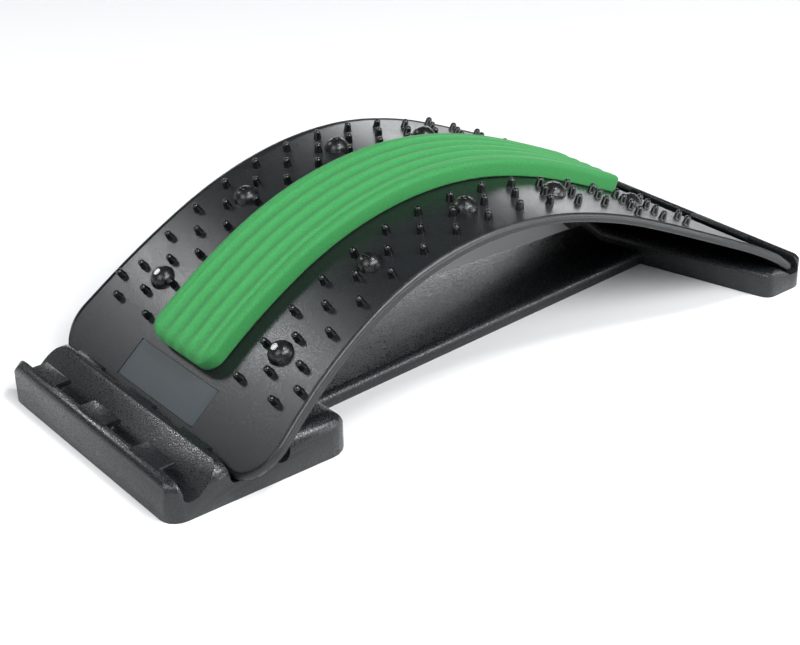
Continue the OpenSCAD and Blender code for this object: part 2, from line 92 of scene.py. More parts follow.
def linear(hex_colour: str) -> Colour:
    """Turn an sRGB hex colour into linear RGBA.

    Args:
        hex_colour: Six hex digits, such as "58b468".

    Returns:
        Linear red, green and blue, and an alpha of 1.
    """
    parts = [int(hex_colour[i:i + 2], 16) / 255 for i in (0, 2, 4)]
    channels = [c / 12.92 if c <= 0.04045 else ((c + 0.055) / 1.055) ** 2.4 for c in parts]
    return (channels[0], channels[1], channels[2], 1.0)


def add_node(tree: NodeTree, kind: str, inputs: dict[Any, Any] | None = None, **settings: Any) -> Node:
    """Add a node with its settings, its values and its incoming links.

    Args:
        tree: The tree that gets the node.
        kind: The node's type name.
        inputs: Values or output sockets, by the name or number of the input socket.
        **settings: Properties of the node.

    Returns:
        The new node.
    """
    made = tree.nodes.new(kind)
    for key, value in settings.items():
        setattr(made, key, value)
    for key, value in (inputs or {}).items():
        if isinstance(value, NodeSocket):
            tree.links.new(value, made.inputs[key])
        else:
            made.inputs[key].default_value = value
    return made


def mesh_object(name: str, verts: Sequence[Sequence[float]], faces: Sequence[Sequence[int]]) -> Object:
    """Make a smooth-shaded object at the origin from points in millimetres.

    Args:
        name: The piece's name.
        verts: Points in the row frame, in millimetres.
        faces: Point numbers of each face.

    Returns:
        The new object, linked to the scene.
    """
    mesh = bpy.data.meshes.new(name)
    mesh.from_pydata([[c * MM for c in v] for v in verts], [], faces)
    mesh.validate()
    bm = bmesh.new()
    bm.from_mesh(mesh)
    bmesh.ops.recalc_face_normals(bm, faces=bm.faces)
    for face in bm.faces:
        face.smooth = True
    bm.to_mesh(mesh)
    bm.free()
    made = bpy.data.objects.new(name, mesh)
    bpy.context.scene.collection.objects.link(made)
    return made


# Finishes


def new_finish(name: str) -> tuple[Material, NodeTree, Node, NodeSocket]:
    """Start a material.

    Args:
        name: The material's name.

    Returns:
        The material, its node tree, its shader and the object coordinates.
    """
    made = bpy.data.materials.new(name)
    made.use_nodes = True
    tree = made.node_tree
    where = add_node(tree, "ShaderNodeTexCoord").outputs["Object"]
    return made, tree, tree.nodes["Principled BSDF"], where


@dataclass(frozen=True)
class MouldedPlastic:
    """ABS moulded in a spark-eroded tool: an even black skin broken by a fine grain.

    The grain gives the eye a scatter of small glints where light grazes the surface. The real
    grain is 0.1 to 0.2 mm wide, and it is drawn three to five times as coarse so that it shows.
    The two films use it too, with next to no depth.
    """

    name: str
    colour: str
    worn_colour: str
    roughness: float
    grain_mm: float
    grain_depth_mm: float
    sparkle: float = 0.10
    specular: float = 0.5
    wear: float = 0.05
    patch_mm: float = 30.0
    glint_share: float = 1.37
    relief: float = 0.8

    def material(self) -> Material:
        """Build the finish.

        Returns:
            The material.
        """
        made, tree, shader, where = new_finish(self.name)
        # Grains per metre: the noise has one lump for each grain width
        grains = 1 / (self.grain_mm * MM)
        grain = add_node(tree, "ShaderNodeTexNoise", {
            "Vector": where, "Scale": grains, "Detail": 1.0, "Roughness": 0.5})
        glints = add_node(tree, "ShaderNodeTexNoise", {
            "Vector": where, "Scale": self.glint_share * grains, "Detail": 0.0})
        # Handling marks: broad patches, a little smoother or duller
        patches = add_node(tree, "ShaderNodeTexNoise", {
            "Vector": where, "Scale": 1 / (self.patch_mm * MM), "Detail": 3.0})
        tint = add_node(tree, "ShaderNodeMix", {
            "Factor": patches.outputs["Fac"], "A": linear(self.colour), "B": linear(self.worn_colour),
        }, data_type="RGBA")
        broad = add_node(tree, "ShaderNodeMapRange", {
            "Value": patches.outputs["Fac"],
            "To Min": self.roughness - self.wear, "To Max": self.roughness + self.wear})
        fine = add_node(tree, "ShaderNodeMapRange", {
            "Value": glints.outputs["Fac"], "From Min": NOISE_LOW, "From Max": NOISE_HIGH,
            "To Min": -self.sparkle, "To Max": self.sparkle})
        rough = add_node(tree, "ShaderNodeMath", {
            0: broad.outputs["Result"], 1: fine.outputs["Result"]}, operation="ADD")
        bump = add_node(tree, "ShaderNodeBump", {
            "Height": grain.outputs["Fac"], "Strength": self.relief, "Distance": self.grain_depth_mm * MM})
        tree.links.new(tint.outputs[2], shader.inputs["Base Color"])
        tree.links.new(rough.outputs[0], shader.inputs["Roughness"])
        tree.links.new(bump.outputs["Normal"], shader.inputs["Normal"])
        shader.inputs["IOR"].default_value = ABS_IOR
        shader.inputs["Specular IOR Level"].default_value = self.specular
        return made


@dataclass(frozen=True)
class PolishedPlastic:
    """Black ABS from a mirror-polished cavity: dark, with sharp highlights and faint swirls."""

    name: str
    colour: str
    roughness: float
    swirl_mm: float = 3.0
    haze: float = 0.08

    def material(self) -> Material:
        """Build the finish.

        Returns:
            The material.
        """
        made, tree, shader, where = new_finish(self.name)
        # Handling swirls, only just visible in the highlight's edge
        swirls = add_node(tree, "ShaderNodeTexNoise", {
            "Vector": where, "Scale": 1 / (self.swirl_mm * MM), "Detail": 4.0})
        rough = add_node(tree, "ShaderNodeMapRange", {
            "Value": swirls.outputs["Fac"], "To Min": self.roughness, "To Max": self.roughness + self.haze})
        tree.links.new(rough.outputs["Result"], shader.inputs["Roughness"])
        shader.inputs["Base Color"].default_value = linear(self.colour)
        shader.inputs["IOR"].default_value = ABS_IOR
        return made


@dataclass(frozen=True)
class ClosedCellFoam:
    """Closed-cell foam with its moulded skin: matte and speckled, with painted shade in channels and down
    sides.

    The real cells are finer than the pores drawn here, which are as coarse as they need to show.
    """

    name: str
    colour: str
    shade_colour: str
    pore_mm: float
    pore_depth_mm: float = 0.10
    relief: float = 0.6
    mottle: float = 0.18
    roughness: float = 0.78

    def material(self) -> Material:
        """Build the finish.

        Returns:
            The material.
        """
        made, tree, shader, where = new_finish(self.name)
        # Painted shade: the skin turns darker in the channels and down the sides, where less light falls
        channel_side_shade = add_node(tree, "ShaderNodeAttribute", attribute_name="channel_side_shade").outputs["Fac"]
        skin = add_node(tree, "ShaderNodeMix", {
            "Factor": channel_side_shade, "A": linear(self.colour), "B": linear(self.shade_colour),
        }, data_type="RGBA")
        cells = 1 / (self.pore_mm * MM)
        pores = add_node(tree, "ShaderNodeTexVoronoi", {"Vector": where, "Scale": cells})
        speckle = add_node(tree, "ShaderNodeTexNoise", {"Vector": where, "Scale": cells, "Detail": 1.0})
        share = add_node(tree, "ShaderNodeMapRange", {
            "Value": speckle.outputs["Fac"], "From Min": NOISE_LOW, "From Max": NOISE_HIGH,
            "To Min": 1 - self.mottle, "To Max": 1 + self.mottle})
        tint = add_node(tree, "ShaderNodeVectorMath", {
            0: skin.outputs[2], "Scale": share.outputs["Result"]}, operation="SCALE")
        lumps = add_node(tree, "ShaderNodeMath", {
            0: pores.outputs["Distance"], 1: speckle.outputs["Fac"]}, operation="ADD")
        bump = add_node(tree, "ShaderNodeBump", {
            "Height": lumps.outputs[0], "Strength": self.relief, "Distance": self.pore_depth_mm * MM})
        tree.links.new(tint.outputs[0], shader.inputs["Base Color"])
        tree.links.new(bump.outputs["Normal"], shader.inputs["Normal"])
        shader.inputs["Roughness"].default_value = self.roughness
        # A trace of sheen, which softens the strip's edges
        shader.inputs["Sheen Weight"].default_value = 0.05
        shader.inputs["Sheen Roughness"].default_value = 0.5
        shader.inputs["IOR"].default_value = 1.45
        return made


@dataclass(frozen=True)
class NickelPlate:
    """Nickel-plated magnet: bright metal with a fine barrel-tumbled texture."""

    name: str
    colour: str
    polish: Point2 = (0.18, 0.34)
    tumble_mm: float = 0.8

    def material(self) -> Material:
        """Build the finish.

        Returns:
            The material.
        """
        made, tree, shader, where = new_finish(self.name)
        tumbled = add_node(tree, "ShaderNodeTexNoise", {
            "Vector": where, "Scale": 1 / (self.tumble_mm * MM), "Detail": 3.0})
        rough = add_node(tree, "ShaderNodeMapRange", {
            "Value": tumbled.outputs["Fac"], "To Min": self.polish[0], "To Max": self.polish[1]})
        tree.links.new(rough.outputs["Result"], shader.inputs["Roughness"])
        shader.inputs["Base Color"].default_value = linear(self.colour)
        shader.inputs["Metallic"].default_value = 1.0
        return made


# Coarse spark-eroded grain, which sparkles on the rack and the spine
BASE_ABS = MouldedPlastic("grained_abs_base", "101315", "15181a", 0.35, 0.75, 0.10, 0.20)
# Finer grain than the base's: an even satin slope
PLATE_ABS = MouldedPlastic("satin_abs_plate", "101315", "151819", 0.37, 0.50, 0.035, 0.10)
# The hooks' ends, from the tool's polished shut-offs: smooth, darker than the base as painted shade
SHUT_OFF_SHADE_ABS = PolishedPlastic("polished_abs_shut_off_painted_shade", "0b0c0d", 0.16)
# The plate's underside: dull from the tool's unpolished core, and darker than the face as painted shade
UNDERSIDE_SHADE_ABS = MouldedPlastic("matt_abs_underside_painted_shade", "060708", "090a0b", 0.75, 0.75, 0.02, 0.05, 0.10)
# The domes' sides, from a sparked cavity: black with fine speckles
DOME_ABS = MouldedPlastic("fine_grained_abs_dome", "0a0b0c", "0d0e0f", 0.31, 0.60, 0.07, 0.12)
# Pins and dome tops, from a polished cavity: small sharp highlights
PIN_ABS = PolishedPlastic("polished_abs_pin", "08090a", 0.08)
# Film: an even grey, paler than the plate round it
LABEL_FILM = MouldedPlastic("smooth_polyester_film", "2f3639", "353d40", 0.50, 0.60, 0.02, 0.05)
# Pale film, hidden under the foam
TAPE_FILM = MouldedPlastic("acrylic_adhesive_tape", "cfcabd", "d6d1c5", 0.60, 0.40, 0.02, 0.03)
# Matte mid green, with painted shade in the channels and down the sides
FOAM = ClosedCellFoam("closed_cell_foam", "338a47", "2a7b3d", 0.70)
# Bright metal in the hollow of each dome
NICKEL = NickelPlate("nickel_plated_magnet", "c3c3bd")


# The arch line and the pieces that follow it


@dataclass
class ArchLine:
    """The chain of tangent arcs that the plate follows, in millimetres and degrees.

    front_x and rear_x are the two ends of the plate, and nose_r is the radius of both. Both ends
    of the chain are nose_z high.
    """

    front_x: float
    rear_x: float
    arcs: tuple[Point2, ...] = ((862, 2.4), (308, 10.1), (172, 42.3), (280, 9.9), (1342, 2.8), (372, 7.9))
    nose_r: float = 2.8
    nose_z: float = 12.25
    search_reach: Point2 = (-10.0, 420.0)
    search_steps: int = 30
    spans: list[tuple[float, float, float, float, float]] = field(default_factory=list, init=False)

    def __post_init__(self) -> None:
        """Work out each arc's start, centre, radius along the top face and first heading."""
        flat = self.walk(0.0, 0.0, 0.0)
        heading = -math.atan2(flat[1], flat[0])
        self.walk(self.front_x + self.nose_r, self.nose_z, heading)

    def walk(self, x: float, z: float, turn: float) -> Point2:
        """Follow the chain from a place and a heading, and keep its arcs.

        Args:
            x: Where the chain starts along the part.
            z: How high it starts.
            turn: Its first heading, in radians.

        Returns:
            The place at its end.
        """
        s = 0.0
        self.spans = []
        for r, a in self.arcs:
            cx, cz = x + r * math.sin(turn), z - r * math.cos(turn)
            self.spans.append((s, cx, cz, r + self.nose_r, turn))
            s += (r + self.nose_r) * math.radians(a)
            turn -= math.radians(a)
            x, z = cx - r * math.sin(turn), cz + r * math.cos(turn)
        return x, z

    def at(self, s: float, h: float = 0.0) -> Point3:
        """Find a place on the arch.

        Args:
            s: Distance along the top face from the front end of the line.
            h: Height over the top face.

        Returns:
            X, Z and the heading in degrees.
        """
        before = (span for span in reversed(self.spans) if span[0] <= s)
        start, cx, cz, top, turn = next(before, self.spans[0])
        turn -= (s - start) / top
        return cx - (top + h) * math.sin(turn), cz + (top + h) * math.cos(turn), math.degrees(turn)

    def s_of_x(self, x: float) -> float:
        """Find how far along the line a place in plan lies.

        Args:
            x: Where the place lies along the part, halfway down the rim.

        Returns:
            The distance along the top face from the front end of the line.
        """
        low, high = self.search_reach
        for _ in range(self.search_steps):
            middle = (low + high) / 2
            if self.at(middle, -self.nose_r)[0] < x:
                low = middle
            else:
                high = middle
        return (low + high) / 2


def arc_points(centre: Point2, r: float, start: float, end: float, n: int) -> list[Point2]:
    """Return the n + 1 points along an arc between two angles in degrees."""
    turns = [math.radians(start + (end - start) * k / n) for k in range(n + 1)]
    return [(centre[0] + r * math.cos(t), centre[1] + r * math.sin(t)) for t in turns]


def thinned(points: Sequence[Point2], least: float) -> list[Point2]:
    """Drop points that crowd together.

    Args:
        points: The line.
        least: The least distance that is kept between two points.

    Returns:
        The thinned line.
    """
    kept = [points[0]]
    for p in points[1:]:
        if math.dist(p, kept[-1]) >= least:
            kept.append(p)
    return kept


def filled(points: Sequence[Point2], most: float) -> list[Point2]:
    """Add points where a line has long steps.

    Args:
        points: The line.
        most: The longest step that is left.

    Returns:
        The line with its new points.
    """
    out = [points[0]]
    for a, b in zip(points, points[1:]):
        n = max(1, math.ceil(math.dist(a, b) / most))
        out += [(a[0] + (b[0] - a[0]) * k / n, a[1] + (b[1] - a[1]) * k / n) for k in range(1, n + 1)]
    return out


def round_ended(front: float, rear: float, half: float, r: float, n: int) -> list[Point2]:
    """Return one side of a strip of a half width, with rounded corners, from end to end."""
    return arc_points((front + r, half - r), r, 180, 90, n) + arc_points((rear - r, half - r), r, 90, 0, n)


@dataclass
class ArchedSlab:
    """A slab on the arch: a shaped edge round a face that may be ribbed.

    edge is one side of the slab in unrolled places (s, y) from the front middle to the rear
    middle, top gives the face's height at a place, and ring gives the section of the edge at a
    distance from the slab's nearer end, as steps outward and up from the rim of the face down
    to the rim of the underside.
    """

    line: ArchLine
    edge: Sequence[Point2]
    ring: Callable[[float], Sequence[Point2]]
    top: Callable[[float, float], float]
    bottom: float
    across: int

    def normals(self) -> list[Point2]:
        """Find the outward direction at each point of the edge.

        Returns:
            One unit step in (s, y) for each point.
        """
        out: list[Point2] = []
        last = len(self.edge) - 1
        for k in range(last + 1):
            a, b = self.edge[max(0, k - 1)], self.edge[min(last, k + 1)]
            ds, dy = b[0] - a[0], b[1] - a[1]
            size = math.hypot(ds, dy)
            out.append((-dy / size, ds / size))
        out[0], out[-1] = (-1.0, 0.0), (1.0, 0.0)
        return out

    def place(self, s: float, y: float, h: float) -> Point3:
        """Return the point in the row frame at an unrolled place and height."""
        x, z, _ = self.line.at(s, h)
        return x, y, z

    def build(self, name: str) -> Object:
        """Make the closed mesh.

        Args:
            name: The piece's name.

        Returns:
            The new object.
        """
        rows, cols = len(self.edge), self.across + 1
        share = [2 * j / self.across - 1 for j in range(cols)]
        grid = [(s, y * u) for s, y in self.edge for u in share]
        verts = [self.place(s, y, self.top(s, y)) for s, y in grid]
        under = len(verts)
        verts += [self.place(s, y, self.bottom) for s, y in grid]
        faces: list[tuple[int, ...]] = []
        for k in range(rows - 1):
            for j in range(self.across):
                a = k * cols + j
                faces.append((a, a + 1, a + cols + 1, a + cols))
                b = under + a
                faces.append((b, b + cols, b + cols + 1, b + 1))
        # The rim of the face as one loop: front edge, one side, rear edge, other side
        normals = self.normals()
        loop = [(j, (-1.0, 0.0)) for j in range(cols)]
        loop += [(k * cols + cols - 1, normals[k]) for k in range(1, rows)]
        loop += [((rows - 1) * cols + j, (1.0, 0.0)) for j in range(cols - 2, -1, -1)]
        loop += [(k * cols, (normals[k][0], -normals[k][1])) for k in range(rows - 2, 0, -1)]
        n = len(loop)
        start = len(verts)
        first, last = self.edge[0][0], self.edge[-1][0]
        sections = [self.ring(min(grid[i][0] - first, last - grid[i][0])) for i, _ in loop]
        for r in range(len(sections[0])):
            for (index, (ns, ny)), section in zip(loop, sections):
                s, y = grid[index]
                out, up = section[r]
                verts.append(self.place(s + ns * out, y + ny * out, up))
        rings = [[i for i, _ in loop]]
        rings += [[start + r * n + i for i in range(n)] for r in range(len(sections[0]))]
        rings.append([under + i for i, _ in loop])
        for upper, lower in zip(rings, rings[1:]):
            for i in range(n):
                faces.append((upper[i], lower[i], lower[(i + 1) % n], upper[(i + 1) % n]))
        return mesh_object(name, verts, faces)


@dataclass
class ArchPlate:
    """The springy plate: its outline, its raised rim and the trim line inside the rim."""

    line: ArchLine
    waist_half: float = 81.3
    waist_back: float = 103.0
    waist_front_r: float = 420.0
    rear_half: float = 100.9
    flank_back: float = 301.0
    flank_r: float = 150.0
    front_corner_r: float = 17.0
    rear_corner_r: float = 5.0
    arc_steps: tuple[int, ...] = (18, 30, 50, 12, 8)
    rim_w: float = 3.0
    rim_depth: float = 4.0
    rim_rise: float = 0.6
    shell_t: float = 2.8
    run_out: float = 16.0
    recess: Point3 = (3.9, 25.1, 34.1)
    recess_depth: float = 0.5
    recess_wall: float = 0.01
    across: int = 48
    least_step: float = 0.05
    longest_step: float = 4.0
    crease_deg: float = 42.0
    underside_lean: float = -0.6

    def side(self, g: float) -> list[Point2]:
        """Draw one side of the plate in plan.

        Args:
            g: How far the outline is drawn in.

        Returns:
            Points from the front corner to the rear edge.
        """
        front, rear = self.line.front_x, self.line.rear_x
        waist_x = front + self.waist_back
        flare = self.rear_half - self.waist_half
        run = self.flank_back - self.waist_back
        rear_r = (run * run + flare * flare) / (2 * flare) - self.flank_r
        front_side = (waist_x, self.waist_half + self.waist_front_r)
        rear_side = (waist_x, self.waist_half + rear_r)
        dx = self.waist_back - self.front_corner_r
        reach = math.sqrt((self.waist_front_r + self.front_corner_r) ** 2 - dx * dx)
        front_c = (front + self.front_corner_r, front_side[1] - reach)
        flank_c = (front + self.flank_back, self.rear_half - self.flank_r)
        rear_c = (rear - self.rear_corner_r, self.rear_half - self.rear_corner_r)
        a = math.degrees(math.atan2(front_side[1] - front_c[1], front_side[0] - front_c[0]))
        b = math.degrees(math.atan2(rear_side[1] - flank_c[1], rear_side[0] - flank_c[0]))
        n = self.arc_steps
        return (
            arc_points(front_c, self.front_corner_r - g, 180, a, n[0])
            + arc_points(front_side, self.waist_front_r + g, a + 180, 270, n[1])[1:]
            + arc_points(rear_side, rear_r + g, 270, b + 180, n[2])[1:]
            + arc_points(flank_c, self.flank_r - g, b, 90, n[3])[1:]
            + arc_points(rear_c, self.rear_corner_r - g, 90, 0, n[4])
        )

    def rim(self, end: float) -> list[Point2]:
        """Draw the section of the rim.

        Along the sides it is a raised bar beside the trim line. At the ends it runs out into
        the round nose that sits in a slot. Both sections have the same count of points.

        Args:
            end: Distance from the plate's nearer end.

        Returns:
            Steps outward and up from the rim of the face to the rim of the underside.
        """
        w, rise, low, r = self.rim_w, self.rim_rise, -self.rim_depth, self.line.nose_r
        # Trim line: outward and up from the face
        groove = [(0.45, 0.0), (0.6, -0.12), (0.68, -0.6), (1.15, -0.6), (1.22, -0.15)]
        # Bead: outward from the face and down from the bead's top
        bead = [(1.25, 0.4), (1.32, 0.14), (1.5, 0.02), (1.75, 0.0)]
        bead += [(2.0, 0.12), (2.3, 0.42), (2.55, 0.78), (2.75, 1.2)]
        # Outer wall: inward from the outline, then up from the face or from the wall's foot
        band = [(0.2, -1.0), (0.12, -1.08), (0.0, -1.25), (0.0, low + 0.8)]
        band += [(0.12, low + 0.65), (0.0, low + 0.45), (0.05, low + 0.1), (0.4, low)]
        side = groove + [(x, rise - drop) for x, drop in bead]
        side += [(w - x, y) for x, y in band] + [(0.0, low + 0.2)]
        # Nose: the trim line fades out, then a round end from the face to the foot
        nose = [(0.45, -0.02), (0.6, -0.1), (0.68, -0.4), (1.15, -0.5), (1.22, -0.3)]
        nose += [(w - r + x, y - r) for x, y in arc_points((0, 0), r, 62, -90, 15)]
        nose += [(0.0, 0.2 - 2 * r)]
        t = min(1.0, max(0.0, end / self.run_out))
        t = t * t * (3 - 2 * t)
        return [(a[0] + (b[0] - a[0]) * t, a[1] + (b[1] - a[1]) * t) for a, b in zip(nose, side)]

    def build(self) -> Object:
        """Make the plate's mesh.

        Returns:
            The new object, with its underside's faces numbered 1.
        """
        side = filled(thinned(self.side(self.rim_w), self.least_step), self.longest_step)
        edge = [(self.line.s_of_x(x), y) for x, y in side]
        slab = ArchedSlab(self.line, edge, self.rim, lambda s, y: 0.0, -self.shell_t, self.across)
        made = slab.build("plate_shell")
        self.sink_label(made.data, len(edge) * (self.across + 1))
        made.data.set_sharp_from_angle(angle=math.radians(self.crease_deg))
        return made

    def sink_label(self, mesh: Mesh, face_verts: int) -> None:
        """Cut the label's shallow recess into the face, and mark the underside.

        Args:
            mesh: The plate's mesh.
            face_verts: Number of the mesh's first points that lie on its face.
        """
        start, end, half = self.recess
        ends = []
        for s, way in ((start, 1), (end, -1)):
            x, z, heading = self.line.at(s)
            turn = math.radians(heading)
            ends.append((Vector((x, 0, z)) * MM, Vector((math.cos(turn), 0, math.sin(turn))) * way))
        ends += [(Vector((0, side * half, 0)) * MM, Vector((0, -side, 0))) for side in (-1, 1)]
        top, under = 2, 1
        bm = bmesh.new()
        bm.from_mesh(mesh)
        for face in bm.faces:
            face.material_index = top if max(v.index for v in face.verts) < face_verts else 0
        for place, inward in ends:
            faces = [f for f in bm.faces if f.material_index == top]
            near = list({e for f in faces for e in f.edges}) + list({v for f in faces for v in f.verts})
            bmesh.ops.bisect_plane(bm, geom=faces + near, dist=1e-7, plane_co=place, plane_no=inward)
        inside = [
            f for f in bm.faces if f.material_index == top
            and all((f.calc_center_median() - place).dot(inward) > 0 for place, inward in ends)
        ]
        bmesh.ops.inset_region(
            bm, faces=inside, use_even_offset=True,
            thickness=self.recess_wall * MM, depth=-self.recess_depth * MM)
        bm.normal_update()
        # Faces that lean down take the underside's finish, darker than the face as painted shade under the
        # arch
        for face in bm.faces:
            face.material_index = under if face.normal.z < self.underside_lean else 0
            face.smooth = True
        bm.to_mesh(mesh)
        bm.free()


@dataclass
class FoamStrip:
    """The foam strip: a slab with a rounded top edge, rounder ends and soft ribs along it."""

    line: ArchLine
    start: float = 29.0
    length: float = 289.5
    width: float = 50.6
    height: float = 9.3
    lift: float = 0.4
    corner_r: float = 10.0
    edge_r: float = 4.0
    pitch: float = 9.1
    channel: float = 1.3
    tip: float = 1.2
    end_fade: float = 12.0
    side_fade: float = 1.5
    squareness: float = 0.62
    edge_steps: int = 10
    corner_steps: int = 10
    mid_wall: float = 0.35
    foot: tuple[Point2, ...] = ((0.0, 0.8), (0.15, 0.1), (1.0, 0.0))
    across: int = 60
    longest_step: float = 2.0

    def rise(self, end: float) -> float:
        """Return the share of the full height at a distance from the strip's nearer end."""
        left = 1 - min(1.0, (max(0.0, end) + self.tip) / self.corner_r)
        return math.sqrt(1 - left ** 3)

    def wave(self, y: float) -> float:
        """Return 0 on the crest of a rib and 1 at the bottom of a channel."""
        return (1 - math.cos(2 * math.pi * y / self.pitch)) / 2

    def top(self, s: float, y: float) -> float:
        """Find the height of the top, ribs included.

        Args:
            s: Distance along the arch.
            y: Distance from the middle.

        Returns:
            The height over the plate's face.
        """
        half = self.width / 2
        end = min(s - self.start, self.start + self.length - s)
        inside = max(0.0, half - self.edge_r - abs(y))
        fade = min(1.0, end / self.end_fade) * min(1.0, inside / self.side_fade)
        return self.lift + self.height * self.rise(end) - self.channel * fade * self.wave(y)

    def section(self, end: float) -> list[Point2]:
        """Draw the section of the edge: boxy along the sides and round at the ends.

        Args:
            end: Distance from the strip's nearer end.

        Returns:
            Steps outward and up from the rim of the top to the rim of the underside.
        """
        e, high, power, steps = self.edge_r, self.height, self.squareness, self.edge_steps
        t = min(1.0, max(0.0, end / (self.corner_r - e)))
        out: list[Point2] = []
        for k in range(1, steps + 1):
            turn = math.radians(90 - 90 / steps * k)
            x = e * math.cos(turn) ** power if k < steps else e
            y = high - e + e * math.sin(turn) ** power if k < steps else high - e
            boxy, rounded = y * self.rise(end + e), high * self.rise(end + e - x)
            out.append((x, self.lift + boxy * t + rounded * (1 - t)))
        out.append((e, self.lift + high * self.mid_wall))
        return out + [(e - x, self.lift + y) for x, y in self.foot]

    def build(self) -> Object:
        """Make the strip's mesh.

        Returns:
            The new object, with an attribute for painted shade: 1 in the channels and down the sides.
        """
        e = self.edge_r
        half = self.width / 2 - e
        rear = self.start + self.length - e
        edge = round_ended(self.start + e, rear, half, self.corner_r - e, self.corner_steps)
        edge = filled(edge, self.longest_step)
        slab = ArchedSlab(self.line, edge, self.section, self.top, self.lift, self.across)
        made = slab.build("foam_strip")
        # Share of painted shade: all of it down the sides, and the rib wave across the top
        shade_shares = [1.0 if abs(v.co.y) > half * MM else self.wave(v.co.y / MM) for v in made.data.vertices]
        made.data.attributes.new("channel_side_shade", "FLOAT", "POINT").data.foreach_set("value", shade_shares)
        return made


@dataclass
class BlankLabel:
    """The blank label: a thin film let into the plate's front."""

    line: ArchLine
    start: float = 4.3
    length: float = 20.4
    width: float = 67.4
    corner_r: float = 1.0
    proud: float = -0.06
    edge_r: float = 0.15
    foot: float = -0.4
    bottom: float = -0.48
    across: int = 12
    corner_steps: int = 5
    longest_step: float = 2.0

    def build(self) -> Object:
        """Make the label's mesh.

        Returns:
            The new object.
        """
        e = self.edge_r
        rear, half = self.start + self.length - e, self.width / 2 - e
        edge = round_ended(self.start + e, rear, half, self.corner_r - e, self.corner_steps)
        edge = filled(edge, self.longest_step)
        # A softened edge: outward from the rim of the face, and up from the plate's face
        ring = [(e * 0.7, self.proud - 0.03), (e, self.proud - 0.10), (e, self.foot)]
        slab = ArchedSlab(self.line, edge, lambda s: ring, lambda s, y: self.proud, self.bottom, self.across)
        return slab.build("label_film")


def lathe(profile: Sequence[Point2], around: int, crease_deg: float = 40.0) -> Object:
    """Turn a profile about Z into a small closed piece that is set out many times.

    Args:
        profile: Radius and height of each ring, in millimetres, from the foot to the top.
        around: Number of points round each ring.
        crease_deg: The least angle between faces that is shaded as an edge.

    Returns:
        The new object.
    """
    verts: list[Point3] = []
    for r, z in profile:
        for k in range(around):
            turn = 2 * math.pi * k / around
            verts.append((r * math.cos(turn), r * math.sin(turn), z))
    faces: list[tuple[int, ...]] = []
    for i in range(len(profile) - 1):
        for k in range(around):
            a, b = i * around + k, i * around + (k + 1) % around
            faces.append((a, b, b + around, a + around))
    faces += [tuple(range(around)), tuple(range(len(verts) - around, len(verts)))]
    made = mesh_object("lathe_pattern", verts, faces)
    made.data.set_sharp_from_angle(angle=math.radians(crease_deg))
    return made


@dataclass
class RowField:
    """Pieces set out in rows on the plate: one pattern, one seat point for each copy."""

    line: ArchLine
    first_row: float = 35.5
    rows: int = 15
    pitch: float = 20.0
    sink: float = 0.3

    def seats(self, name: str, places: Sequence[Point2]) -> Object:
        """Make the seat points on both sides, each with the lean of the plate there.

        Args:
            name: The piece's name.
            places: Row and distance from the middle of each copy on one side.

        Returns:
            An object of bare points.
        """
        points, leans = [], []
        for row, y in places:
            x, z, heading = self.line.at(self.first_row + row * self.pitch, -self.sink)
            for side in (-1, 1):
                points.append((x, side * y, z))
                leans.append(math.radians(-heading))
        made = mesh_object(name, points, [])
        lean = made.data.attributes.new("lean", "FLOAT", "POINT")
        lean.data.foreach_set("value", leans)
        return made

    def tree(self) -> NodeTree:
        """Build the node tree that stands one pattern on each seat.

        Returns:
            The tree, with the pattern, the finish and the size as named inputs.
        """
        tree = bpy.data.node_groups.new("rows_of_copies", "GeometryNodeTree")
        face = tree.interface
        kinds = {"Geometry": "Geometry", "Pattern": "Object", "Finish": "Material", "Size": "Float"}
        for name, kind in kinds.items():
            face.new_socket(name=name, in_out="INPUT", socket_type=f"NodeSocket{kind}")
        face.new_socket(name="Geometry", in_out="OUTPUT", socket_type="NodeSocketGeometry")
        given = add_node(tree, "NodeGroupInput").outputs
        pattern = add_node(tree, "GeometryNodeObjectInfo", {"Object": given["Pattern"]})
        lean = add_node(tree, "GeometryNodeInputNamedAttribute", {"Name": "lean"}, data_type="FLOAT")
        turn = add_node(tree, "ShaderNodeCombineXYZ", {"Y": lean.outputs["Attribute"]})
        rows = add_node(tree, "GeometryNodeInstanceOnPoints", {
            "Points": given["Geometry"], "Instance": pattern.outputs["Geometry"],
            "Rotation": turn.outputs[0], "Scale": given["Size"]})
        real = add_node(tree, "GeometryNodeRealizeInstances", {"Geometry": rows.outputs[0]})
        dressed = add_node(tree, "GeometryNodeSetMaterial", {
            "Geometry": real.outputs[0], "Material": given["Finish"]})
        add_node(tree, "NodeGroupOutput", {0: dressed.outputs[0]})
        return tree

    def build(self, name: str, places: Sequence[Point2], pattern: Object, finish: Material) -> Object:
        """Set the pattern out on its seats and keep the result as one plain mesh.

        Args:
            name: The piece's name.
            places: Row and distance from the middle of each copy on one side.
            pattern: The pattern, which is removed afterwards.
            finish: The material of the copies.

        Returns:
            The new object.
        """
        seats = self.seats(name, places)
        made = grown(seats, self.tree(), {"Pattern": pattern, "Finish": finish, "Size": 1.0})
        bpy.data.objects.remove(pattern)
        return made


